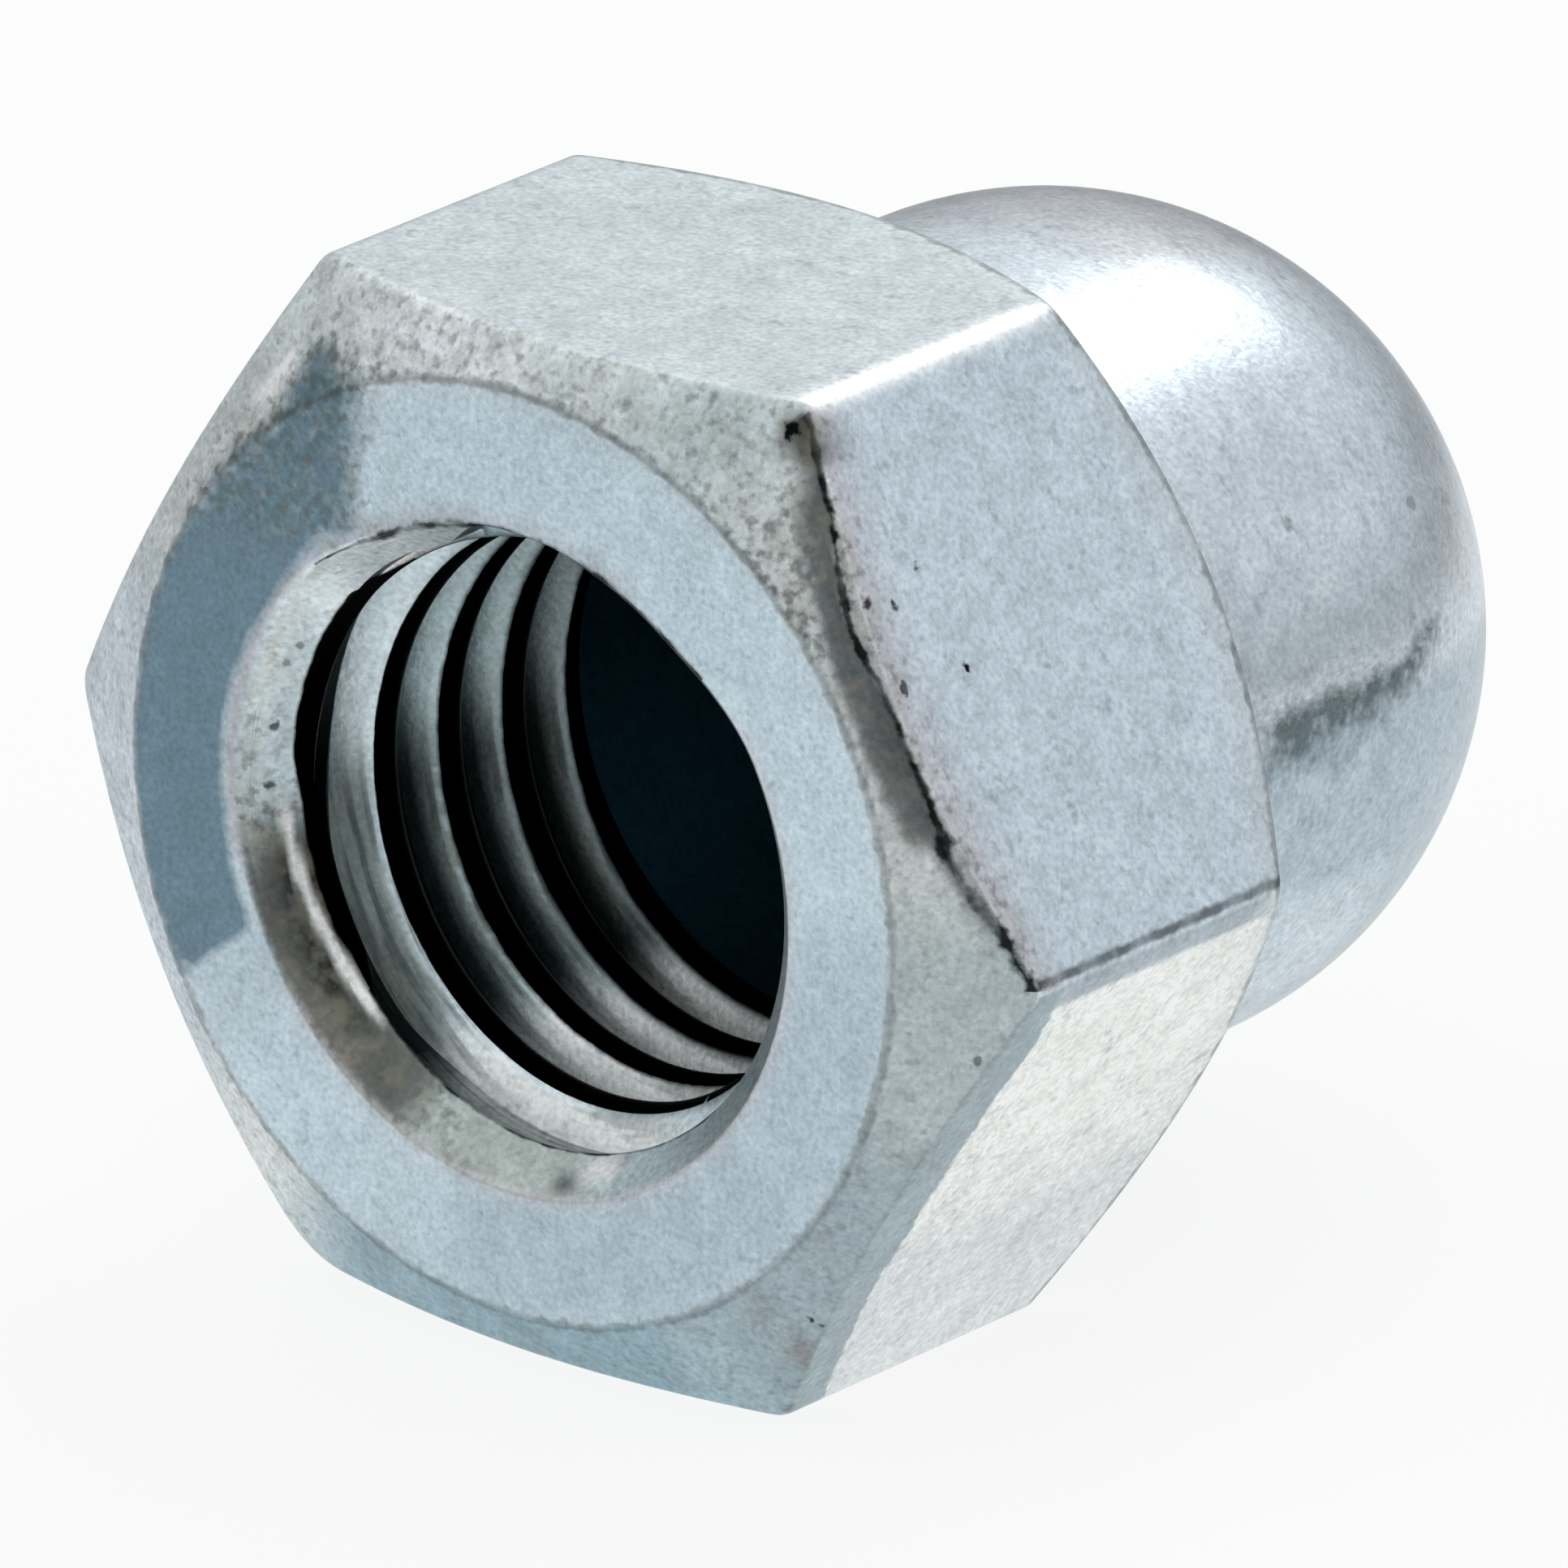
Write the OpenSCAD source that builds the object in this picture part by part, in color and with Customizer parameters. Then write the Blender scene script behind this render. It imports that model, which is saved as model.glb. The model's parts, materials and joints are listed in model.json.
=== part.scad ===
// Hexagon cap nut: a hexagon with a blind metric thread, closed by a domed end.
// The nut lies on one flat. Its thread axis is Y, the mouth of the thread faces -Y
// and the dome points to +Y. The origin is the centre of the bearing face, on the axis.
// The hole is modelled at the thread's crests, without the thread's own helix.

/* [Hexagon] */
// Width across two opposite flats
across_flats = 19; // [17.5:0.1:24]
// Length of a flat along its middle, from the bearing face to the dome-side chamfer
hex_height = 9.1; // [7:0.1:12]
// Radius on the six long corners
corner_radius = 0.5; // [0.2:0.05:1.5]
// Distance from the edge of the bearing ring to the nearest flat
face_inset = 0.9; // [0.4:0.05:1.2]
// Slope of the mouth-side corner chamfer against the bearing face, in degrees
face_chamfer_angle = 28.5; // [15:0.5:45]
// Slope of the dome-side corner chamfer against the bearing face, in degrees
back_chamfer_angle = 41; // [20:0.5:50]

/* [Thread] */
// Outside diameter of the thread, M12 x 1.75, right hand
thread_dia = 12; // [8:0.1:14.5]
// Height of the thread, from its roots to its crests
thread_height = 0.8; // [0.4:0.05:1.2]
// Distance from the bearing face to the end of the thread
thread_depth = 8.1; // [5:0.1:11]
// How far the countersink is wider than the thread, at the mouth and on each side
countersink_margin = 0.3; // [0.05:0.05:0.8]
// Full angle of the countersink, in degrees
countersink_angle = 90; // [60:5:150]

/* [Relief] */
// How far the relief behind the thread is wider than the thread, on each side
relief_margin = 0.35; // [0.1:0.05:0.8]
// Slope of the shoulder that widens the hole to the relief, in degrees
shoulder_angle = 45; // [20:5:70]
// Full angle of the drill point that ends the hole, in degrees
drill_angle = 118; // [90:2:160]

/* [Dome] */
// Height of the whole nut, from the bearing face to the top of the dome
overall_height = 22.6; // [20:0.1:28]
// Metal round the relief, which sets the diameter of the neck and the dome
neck_wall = 1.5; // [0.8:0.1:2.3]
// Metal between the drill point and the top of the dome
dome_wall = 1.8; // [1.3:0.1:5]
// Fillet where the dome-side chamfer meets the neck
neck_fillet = 0.6; // [0.2:0.05:0.9]

/* [Hidden] */
$fn = 96;
zinc = [0.76, 0.8, 0.83];

// How far cutting tools and blanks start outside the nut, and welds reach inside it
overshoot = 2;
weld = 0.3;
// A rounding circle is this much too large, so it meets its two sides at a clean edge
round_lip = 0.005;

hex_radius = across_flats / 2;
face_radius = hex_radius - face_inset;
// The corner circles sit where two flats would meet if both moved in by the corner radius
corner_circle = (hex_radius - corner_radius) / cos(30);
// The turned blank is wide enough to clear the sharp corners
blank_radius = hex_radius / cos(30) + overshoot;
face_slope = tan(face_chamfer_angle);
back_slope = tan(back_chamfer_angle);

crest_radius = thread_dia / 2 - thread_height;
countersink_radius = thread_dia / 2 + countersink_margin;
// How fast the countersink deepens as its radius shrinks
countersink_slope = 1 / tan(countersink_angle / 2);
relief_radius = thread_dia / 2 + relief_margin;
shoulder_height = (relief_radius - crest_radius) * tan(shoulder_angle);
hole_end = overall_height - dome_wall;
relief_end = hole_end - relief_radius / tan(drill_angle / 2);

dome_radius = relief_radius + neck_wall;
// The round end is half a ball, whose centre is one radius below the top
dome_centre = overall_height - dome_radius;
// Height at which the dome-side chamfer reaches the neck
neck_start = hex_height + back_slope * (hex_radius - dome_radius);
// Centre of the fillet's circle, which touches both the neck and the chamfer
fillet_r = dome_radius + neck_fillet;
fillet_z = neck_start + neck_fillet * (1 / cos(back_chamfer_angle) - back_slope);

// Hexagon with round corners: flats above and below, corners to the left and right
module rounded_hexagon() {
    intersection() {
        circle(hex_radius / cos(30), $fn = 6);
        union() {
            for (side = [0 : 2])
                rotate(60 * side)
                    square([corner_circle, across_flats + overshoot], center = true);
            for (corner = [0 : 5])
                rotate(60 * corner)
                    translate([corner_circle, 0]) circle(corner_radius + round_lip);
        }
    }
}

// Half section of the turned blank, with the corner chamfer at each end
module chamfer_profile() {
    polygon([
        [0, 0],
        [face_radius, 0],
        [blank_radius, face_slope * (blank_radius - face_radius)],
        [blank_radius, hex_height - back_slope * (blank_radius - hex_radius)],
        [dome_radius, neck_start],
        [0, neck_start]
    ]);
}

// Half section of the ring that rounds the corner between the chamfer and the neck
module fillet_profile() {
    reach = neck_fillet + weld;
    difference() {
        polygon([
            [dome_radius - weld, neck_start - weld],
            [fillet_r - reach * sin(back_chamfer_angle), fillet_z - reach * cos(back_chamfer_angle)],
            [fillet_r, fillet_z],
            [dome_radius - weld, fillet_z]
        ]);
        translate([fillet_r, fillet_z]) circle(neck_fillet + round_lip);
    }
}

// The solid nut, standing on its bearing face
module outside() {
    intersection() {
        linear_extrude(neck_start) rounded_hexagon();
        rotate_extrude() chamfer_profile();
    }
    rotate_extrude() fillet_profile();
    cylinder(r = dome_radius, h = dome_centre);
    translate([0, 0, dome_centre]) sphere(dome_radius);
}

// Half section of the hole: countersink, thread at its crests, relief and drill point
module hole_profile() {
    polygon([
        [0, -overshoot],
        [countersink_radius + overshoot / countersink_slope, -overshoot],
        [crest_radius, countersink_slope * (countersink_radius - crest_radius)],
        [crest_radius, thread_depth],
        [relief_radius, thread_depth + shoulder_height],
        [relief_radius, relief_end],
        [0, hole_end]
    ]);
}

// The nut, laid down from its bearing face onto one flat
module cap_nut() {
    color(zinc)
        rotate([-90, 0, 0])
            difference() {
                outside();
                rotate_extrude() hole_profile();
            }
}

cap_nut();
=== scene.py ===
"""Cap nut, M12, zinc plated: the finish of every surface, the thread, the studio and the camera."""
import json
import math

import bpy
import numpy as np
from mathutils import Matrix, Quaternion, Vector


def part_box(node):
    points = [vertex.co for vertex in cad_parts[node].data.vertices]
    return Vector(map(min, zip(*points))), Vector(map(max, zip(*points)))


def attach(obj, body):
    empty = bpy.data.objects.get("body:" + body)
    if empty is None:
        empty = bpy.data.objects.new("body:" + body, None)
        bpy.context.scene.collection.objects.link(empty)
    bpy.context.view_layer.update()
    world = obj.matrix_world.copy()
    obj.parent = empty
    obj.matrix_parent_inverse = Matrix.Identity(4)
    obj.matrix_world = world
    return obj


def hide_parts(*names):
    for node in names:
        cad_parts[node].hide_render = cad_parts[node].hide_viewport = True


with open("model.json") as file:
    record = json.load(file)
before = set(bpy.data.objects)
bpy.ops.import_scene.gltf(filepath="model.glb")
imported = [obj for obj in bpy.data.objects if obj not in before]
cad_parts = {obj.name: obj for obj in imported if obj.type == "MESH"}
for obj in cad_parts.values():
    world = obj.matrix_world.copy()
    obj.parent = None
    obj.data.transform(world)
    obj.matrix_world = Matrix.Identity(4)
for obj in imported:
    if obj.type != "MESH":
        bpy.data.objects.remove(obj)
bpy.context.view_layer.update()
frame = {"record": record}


# ---- The nut -----------------------------------------------------------------------------
# One piece of steel. The hexagon and the domed neck are forged in one, then both ends of the
# hexagon get their corner chamfers on a lathe. The blind hole is drilled, countersunk,
# relieved and tapped, and last the whole nut is zinc plated.

# Sizes. Heights run along +Y, the axis of the thread, from the face at the mouth.
mm = 0.001
low, high = (np.array(corner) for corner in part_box("cap_nut"))
thread_mount = next(m for m in frame["record"]["mounts"] if m["name"] == "thread")

hex_radius = high[2]
overall_height = high[1]
hex_height = 9.1 * mm
face_radius = 8.6 * mm
front_slope = math.tan(math.radians(28.5))
back_slope = math.tan(math.radians(41))
dome_radius = 7.85 * mm
neck_fillet = 0.6 * mm
edge_rounding = 0.25 * mm
back_edge_rounding = 0.1 * mm
dome_centre = overall_height - dome_radius
neck_start = hex_height + back_slope * (hex_radius - dome_radius)

# Rounding of the six long corners, from the one at +X round towards +Z
corner_roundings = np.array([0.5, 0.6, 0.5, 0.5, 1.6, 0.5]) * mm

countersink_radius = 6.3 * mm
thread_start = 0.12 * mm
thread_depth = 8.1 * mm
relief_radius = 6.35 * mm
relief_rounding = 0.3 * mm
hole_end = 20.8 * mm
drill_point = 118
web_radius, web_height = 0.2 * mm, 0.12 * mm
relief_end = hole_end - relief_radius / math.tan(math.radians(drill_point / 2))

pitch = 1.75 * mm
thread_phase = 1.754 * mm
flank_slope = math.tan(math.radians(30))
crest_width = 0.64 * mm
crest_radius = thread_mount["dims"]["r_mm"] * mm
crest_edge_radius = crest_radius + 0.12 * mm
root_radius = 5.97 * mm
flank_width = (root_radius - crest_edge_radius) * flank_slope

# The tap bites unevenly at its start: narrow, worn crest and shallow groove in the first turn
first_crest_width = 0.15 * mm
first_crest_wear = 0.1 * mm
first_root_radius = 5.52 * mm

# The mesh: how finely it is divided, and the angle from which an edge is left sharp
columns_a_sixth = 72
column_crowding = 0.35
dome_steps = 36
sharp_from = math.radians(32)


def column_angles():
    """Angles of the mesh's columns round the thread axis, from +X towards +Z. In each sixth, t
    goes evenly from -1 to 1 and the angle from the corner is 30 degrees times
    (crowding * t + (1 - crowding) * t cubed), so the columns crowd at the corner."""
    t = np.linspace(-1, 1, columns_a_sixth, endpoint=False)
    from_corner = np.radians(30) * (column_crowding * t + (1 - column_crowding) * t**3)
    corner = np.repeat(np.arange(6), columns_a_sixth)
    return np.radians(60) * corner + np.tile(from_corner, 6), np.tile(from_corner, 6), corner


def hexagon_radius(from_corner, rounding):
    """Distance from the axis to the outline of the hexagon. On a flat it is the flat's distance
    divided by the cosine of the angle from the middle of the flat. On a corner it is the far
    side of a circle of the rounding's radius, which touches both flats."""
    flat = hex_radius / np.cos(np.radians(30) - np.abs(from_corner))
    centre = (hex_radius - rounding) / math.cos(math.radians(30))
    root = np.maximum(rounding**2 - (centre * np.sin(from_corner)) ** 2, 0)
    arc = centre * np.cos(from_corner) + np.sqrt(root)
    touch = np.arctan2(rounding / 2, centre + rounding * math.cos(math.radians(30)))
    return np.where(np.abs(from_corner) < touch, arc, flat)


def rounded_path(points, roundings, arc_rows, straight_rows):
    """Rows of radius and height along a path of corner points, with an arc at each inner
    point. Each arc touches the two straight stretches at its corner, at the rounding divided
    by the tangent of half the angle there, or at 0.45 of the shorter stretch where that is
    nearer, and is swept by turning its first spoke evenly into its last. points has the shape
    (corners, columns, 2)."""
    rows, last = [], points[:1]
    for i in range(1, len(points)):
        if i == len(points) - 1:
            arc = points[i:]
        else:
            to_last, to_next = points[i - 1] - points[i], points[i + 1] - points[i]
            long_last = np.linalg.norm(to_last, axis=-1, keepdims=True)
            long_next = np.linalg.norm(to_next, axis=-1, keepdims=True)
            to_last, to_next = to_last / long_last, to_next / long_next
            half = np.arccos(np.sum(to_last * to_next, axis=-1, keepdims=True)) / 2
            room = 0.45 * np.minimum(long_last, long_next)
            reach = np.minimum(roundings[i - 1] / np.tan(half), room)
            radius = reach * np.tan(half)
            middle = to_last + to_next
            middle /= np.linalg.norm(middle, axis=-1, keepdims=True)
            centre = points[i] + middle * radius / np.sin(half)
            first = (points[i] + to_last * reach - centre) / radius
            final = (points[i] + to_next * reach - centre) / radius
            turn = np.pi - 2 * half
            s = np.linspace(0, 1, arc_rows[i - 1])[:, None, None]
            spoke = np.sin((1 - s) * turn) * first + np.sin(s * turn) * final
            arc = centre + radius * spoke / np.sin(turn)
        s = np.linspace(0, 1, straight_rows[i - 1], endpoint=False)[:, None, None]
        rows += [last + (arc[:1] - last) * s, arc[:-1]]
        last = arc[-1:]
    return np.concatenate([*rows, last])


angles, from_corner, corner = column_angles()
columns = len(angles)
outline = hexagon_radius(from_corner, corner_roundings[corner])
front_edge = front_slope * (outline - face_radius)
back_edge = hex_height - back_slope * (outline - hex_radius)


def ring(radius, height):
    """One corner point for every column: the same or a varying radius and height."""
    return np.stack(np.broadcast_arrays(radius, height, angles)[:2], axis=-1)


# The dome, from its pole to the neck: a quarter circle turned about the axis
polar = np.linspace(0, np.pi / 2, dome_steps + 1)[1:-1, None]
dome_rows = ring(dome_radius * np.sin(polar), dome_centre + dome_radius * np.cos(polar))

# One pitch of the thread, from the mouth-side edge of a crest to that of the next crest
root_start = crest_width + flank_width
root_end = pitch - flank_width
pitch_rows = np.concatenate([
    crest_width * np.array([0, 0.25, 0.5, 0.75]),
    crest_width + flank_width * np.array([0, 0.33, 0.67]),
    [root_start, (root_start + root_end) / 2],
    root_end + flank_width * np.array([0, 0.25, 0.5, 0.75]),
])


def rise(value, start, end):
    """Goes smoothly from 0 at start to 1 at end: three times the square less twice the cube
    of the share of the way."""
    t = np.clip((value - start) / (end - start), 0, 1)
    return t * t * (3 - 2 * t)


def crest_width_at(turns):
    """Width of the crest by the number of turns from the mouth: the first is cut narrow."""
    return first_crest_width + (crest_width - first_crest_width) * rise(turns, 0.68, 1.05)


def root_radius_at(turns):
    """Radius of the groove by the number of turns from the mouth: its start is shallow."""
    return first_root_radius + (root_radius - first_root_radius) * rise(turns, -0.31, -0.27)


def flank_steepness_at(turns):
    """Steepness of the flank towards the mouth, as a share of the usual one, by the number of
    turns from the mouth: low on the left the first groove was cut flatter."""
    flatter = np.clip((0.52 - turns) / 0.08, 0, 1) * np.clip((turns - 0.3) / 0.06, 0, 1)
    return 1 - 0.4 * rise(flatter, 0, 1)


def on_thread(angle, height):
    """Place on the thread: distance past the mouth-side edge of the crest before it, and the
    number of turns from the mouth. The angle falls as the height grows: it is right hand."""
    climb = height - thread_phase + pitch * angle / (2 * np.pi)
    crest_number = np.floor(climb / pitch)
    return climb - crest_number * pitch, crest_number + 1 - angle / (2 * np.pi)


def thread_profile(angle, height):
    """Distance from the axis to the thread alone: a rounded crest, lowest at its middle by a
    parabola, flanks at 30 degrees to the radius on either side, and a flat root. From half a
    turn to one turn past the mouth the crest is worn down a little."""
    along, turns = on_thread(angle, height)
    width = crest_width_at(turns)
    bulge = (crest_edge_radius - crest_radius) * width / crest_width
    across = np.clip(2 * along / width - 1, -1, 1)
    to_next = (pitch - along) * flank_steepness_at(turns)
    flank = np.minimum(np.maximum(along - width, 0), to_next) / flank_slope
    nearest = turns + (along > pitch / 2)
    wear_and_shade = np.clip((nearest - 0.53) / 0.08, 0, 1) * np.clip((1.05 - nearest) / 0.3, 0, 1)
    crest_edge = crest_edge_radius + first_crest_wear * wear_and_shade
    return np.minimum(root_radius_at(turns), crest_edge + flank - bulge * (1 - across**2))


def mouth_edge(angle):
    """Radius of the countersink at the face. It was cut out of round: up to 0.3 mm smaller
    within 58 degrees of its top."""
    from_top = np.abs((np.degrees(angle) - 88 + 180) % 360 - 180)
    return countersink_radius - 0.3 * mm * rise(from_top, 58, 30)


def mouth_radius(angle, height):
    """Distance from the axis to the countersink, a right-angled cone."""
    return mouth_edge(angle) - height


def shoulder_radius(height):
    """Distance from the axis to the relief's shoulder, a right-angled cone the other way."""
    return crest_radius + height - thread_depth


def thread_radius(angle, height):
    """Distance from the axis to the wall of the tapped hole: the largest of the thread, the
    countersink at the mouth and the relief's shoulder at the far end."""
    ends = np.maximum(mouth_radius(angle, height), shoulder_radius(height))
    return np.maximum(thread_profile(angle, height), ends)


outside_rows = rounded_path(
    np.stack([
        ring(dome_radius, dome_centre),
        ring(dome_radius, neck_start),
        ring(outline, back_edge),
        ring(outline, front_edge),
        ring(face_radius, 0),
        ring(mouth_edge(angles), 0),
        ring(thread_radius(angles, thread_start), thread_start),
    ]),
    roundings=np.array([neck_fillet, back_edge_rounding] + 3 * [edge_rounding]),
    arc_rows=[6, 4, 6, 5, 5],
    straight_rows=[5, 8, 9, 8, 6, 2],
)
thread_end = thread_depth + relief_radius - crest_radius
relief_rows = rounded_path(
    np.stack([
        ring(relief_radius, thread_end),
        ring(relief_radius, relief_end),
        ring(web_radius, hole_end - web_height),
    ]),
    roundings=np.array([relief_rounding]),
    arc_rows=[4],
    straight_rows=[6, 6],
)


def snapped(height):
    """Moves rows on to the edges where the thread meets the countersink and the relief's
    shoulder. Along each column the gap between the two radii is worked out row by row. Where
    it changes sign, the nearer row moves to where it is zero."""
    turned = np.broadcast_to(angles, height.shape)
    height = height.copy()
    for cutter in (mouth_radius, lambda angle, height: shoulder_radius(height)):
        gap = thread_profile(turned, height) - cutter(turned, height)
        crossing = np.sign(gap[1:]) != np.sign(gap[:-1])
        share = np.where(crossing, gap[:-1] / np.where(crossing, gap[:-1] - gap[1:], 1), 0)
        target = height[:-1] + share * (height[1:] - height[:-1])
        lower, upper = crossing & (share < 0.5), crossing & (share >= 0.5)
        height[:-1][lower] = target[lower]
        height[1:][upper] = target[upper]
    return height


def thread_heights():
    """Heights of the thread's rows at every column. A row climbs with the helix, one pitch for
    a whole turn. Where the first crest is narrow, the rows past its middle move back with its
    far edge, and where the first flank is flatter, the rows at its foot move back too."""
    turn = angles / (2 * np.pi)
    pitches = math.ceil(thread_end / pitch) + 3
    number = np.arange(pitches)[:, None]
    climb = (number * pitch + pitch_rows).reshape(-1, 1) + thread_phase - 2 * pitch
    turns = np.repeat(number - 1, len(pitch_rows), axis=0) - turn
    past_crest = np.interp(pitch_rows, [0, crest_width, root_start, root_end], [0, 1, 1, 0])
    narrowing = np.tile(past_crest, pitches)[:, None] * (crest_width - crest_width_at(turns))
    at_foot = np.interp(pitch_rows, [root_start, root_end, pitch], [0, 1, 0])
    flattening = flank_width * (1 / flank_steepness_at(turns) - 1)
    flattening *= np.tile(at_foot, pitches)[:, None]
    return snapped(climb - pitch * turn - narrowing - flattening)


def nut_mesh():
    """Vertices and faces of the whole nut. The outside and the relief are rings of columns.
    Between them the thread is one strip whose rows climb with the helix: after a turn, row r
    meets row r less the rows of one pitch. Rows past either end of the thread are folded onto
    the ring there."""
    clearance = 0.01 * mm
    height = thread_heights()
    upper = np.concatenate([dome_rows, outside_rows])
    before = 1 + len(upper) * columns
    below_start = height <= thread_start + clearance
    past_end = height >= thread_end - clearance
    inner = ~below_start & ~past_end
    number = np.zeros(height.shape, dtype=int)
    number[inner] = before + np.arange(inner.sum())
    after = before + inner.sum()
    column = np.broadcast_to(np.arange(columns), height.shape)
    number = np.where(below_start, before - columns + column, number)
    number = np.where(past_end, after + column, number)

    angle = np.broadcast_to(angles, height.shape)[inner]
    helix = np.stack([thread_radius(angle, height[inner]), height[inner], angle], axis=-1)

    def turned(rows):
        around = np.broadcast_to(angles, rows.shape[:2])[..., None]
        return np.concatenate([rows, around], axis=-1).reshape(-1, 3)

    poles = [[0, overall_height, 0]], [[0, hole_end, 0]]
    rows = np.concatenate([poles[0], turned(upper), helix, turned(relief_rows), poles[1]])
    radius, y, around = rows.T
    points = np.stack([radius * np.cos(around), y, radius * np.sin(around)], axis=-1)

    def rings(first, count):
        here = first + np.arange(count)[:, None] * columns + np.arange(columns)
        beside = np.roll(here, -1, axis=1)
        return np.stack([here[:-1], beside[:-1], beside[1:], here[1:]], axis=-1).reshape(-1, 4)

    per_pitch = len(pitch_rows)
    beside = np.roll(number, -1, axis=1)
    beside[per_pitch:, -1] = number[:-per_pitch, 0]
    beside[:per_pitch, -1] = before - columns
    strip = np.stack([number[:-1], beside[:-1], beside[1:], number[1:]], axis=-1).reshape(-1, 4)
    quads = np.concatenate([rings(1, len(upper)), strip, rings(after, len(relief_rows))])
    here = np.arange(columns)
    aside = np.roll(here, -1)
    end_pole = np.full(columns, len(points) - 1)
    last_ring = end_pole - columns
    fans = np.concatenate([
        np.stack([np.zeros(columns, int), 1 + aside, 1 + here], axis=-1),
        np.stack([last_ring + here, last_ring + aside, end_pole], axis=-1),
    ])
    folded_left = quads[:, 0] == quads[:, 3]
    folded_right = quads[:, 1] == quads[:, 2]
    whole = quads[~folded_left & ~folded_right]
    left = quads[folded_left & ~folded_right][:, :3]
    right = quads[folded_right & ~folded_left][:, [0, 1, 3]]
    return points, before, whole, np.concatenate([fans, left, right])


points, first_inner, quads, triangles = nut_mesh()

# Where the edge between countersink and thread runs from one row to the next, the four-sided
# face there is cut in two along it
place_angle = np.arctan2(points[:, 2], points[:, 0]) % (2 * np.pi)
thread_gap = thread_profile(place_angle, points[:, 1]) - mouth_radius(place_angle, points[:, 1])
outer = np.arange(len(points)) < first_inner
edge_tolerance, mouth_depth = 0.005 * mm, 2 * mm
on_edge = ~outer & (np.abs(thread_gap) < edge_tolerance) & (points[:, 1] < mouth_depth)
one_way = (on_edge[quads] == [True, False, True, False]).all(axis=1)
other_way = (on_edge[quads] == [False, True, False, True]).all(axis=1)
triangles = np.concatenate([
    triangles,
    quads[one_way][:, [0, 1, 2]], quads[one_way][:, [0, 2, 3]],
    quads[other_way][:, [1, 2, 3]], quads[other_way][:, [1, 3, 0]],
])
quads = quads[~one_way & ~other_way]
mesh = bpy.data.meshes.new("cap_nut_body")
mesh.from_pydata(points, [], quads.tolist() + triangles.tolist())
mesh.update()
mesh.polygons.foreach_set("use_smooth", np.ones(len(mesh.polygons), dtype=bool))
mesh.set_sharp_from_angle(angle=sharp_from)

# The countersink meets the thread at too small an angle for that, so the edge is set as well
ends = np.empty(2 * len(mesh.edges), dtype=int)
mesh.edges.foreach_get("vertices", ends)
sharp = np.empty(len(mesh.edges), dtype=bool)
mesh.attributes["sharp_edge"].data.foreach_get("value", sharp)
sharp |= on_edge[ends.reshape(-1, 2)].all(axis=1)
mesh.attributes["sharp_edge"].data.foreach_set("value", sharp)
nut = bpy.data.objects.new("cap_nut_body", mesh)
bpy.context.scene.collection.objects.link(nut)
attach(nut, "root")
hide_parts("cap_nut")

# Places on the nut, in millimetres and degrees, for the marks that its making and its
# handling left on the plating, and for painted light and shade. past_front and past_back are
# distances past the edges of the front and the back chamfer, more than 0 on the flats and on
# the neck. nowhere is a distance too far from a mark for it to show.
nowhere = 9
x, y, z = points.T / mm
radius = np.hypot(x, z)
angle = np.degrees(np.arctan2(z, x)) % 360
nearest_corner = np.round(angle / 60).astype(int) % 6
off_corner = np.radians((angle - 60 * nearest_corner + 180) % 360 - 180)
hexagon = hexagon_radius(off_corner, corner_roundings[nearest_corner]) / mm
front_y = front_slope * (hexagon - face_radius / mm)
back_y = hex_height / mm - back_slope * (hexagon - hex_radius / mm)
past_front = np.where(outer, y - front_y + radius - hexagon, -nowhere)
past_back = np.where(outer, y - back_y - radius + hexagon, -nowhere)
past_mouth = radius - mouth_edge(np.radians(angle)) / mm


def bump_at(value, centre, reach):
    """A soft hump: 1 at the centre, falling to 0 at the reach on either side."""
    return rise(np.abs(value - centre), reach, 0)


def turn_from(place):
    """Angle from a place round the axis, in degrees, from -180 to 180."""
    return (angle - place + 180) % 360 - 180


def sector(place, end, full):
    """1 up to the full angle from a place round the axis, falling to 0 at the end angle."""
    return rise(np.abs(turn_from(place)), end, full)


def spread(place, reach):
    """A soft round spot: 1 at the place, falling to 0 at the reach from it."""
    return rise(np.linalg.norm(points / mm - place, axis=1), reach, 0.2 * reach)


on_dome = outer * rise(past_back, 0.1, 0.3) * rise(radius, 8.2, 7.9)
dome_side = on_dome * rise(radius, 2.5, 5.6)
chamfer = outer * rise(past_front, 0.03, -0.08) * rise(radius, 8.5, 8.65)
ring_face = outer * rise(radius, 8.65, 8.5) * rise(y, 0.2, 0.02)
flats = outer * rise(past_front, 0, 0.1) * rise(past_back, 0, -0.1)
right_flat = sector(30, 30.1, 29.9)
inside = ~outer * rise(past_mouth + y, 0, 0.06)
sink = rise(past_mouth, 0.1, -0.1) * rise(y, 1.2, 1.0) * (~outer | (y < 1)) * (1 - inside)

# Places on the thread: along is the distance past the mouth-side edge of the nearest crest,
# and to_next is the distance to the next crest, from less than 0 up to 0
along, turns = on_thread(np.radians(angle), y * mm)
along = (along + pitch / 2) % pitch / mm - pitch / mm / 2
to_next = along - pitch / mm * (along > 0)
tapped = inside * rise(y, 8.5, 8.1)
last_turns = inside * rise(turns, 2.8, 3.1) * (y < 8.2)
# Painted shade along the front edge of the right flat: a band on the chamfer and a dark line
past_front_shade_edge = past_front + 0.14 + 0.28 * bump_at(angle, 41, 11) + 0.22 * bump_at(angle, 13, 9)
front_edge_shade = right_flat * chamfer * rise(past_front_shade_edge, 0.06, -0.06)
front_edge_shade_band = front_edge_shade * rise(past_front, -1.3, -0.9) * sector(35, 22, 17)
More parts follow.
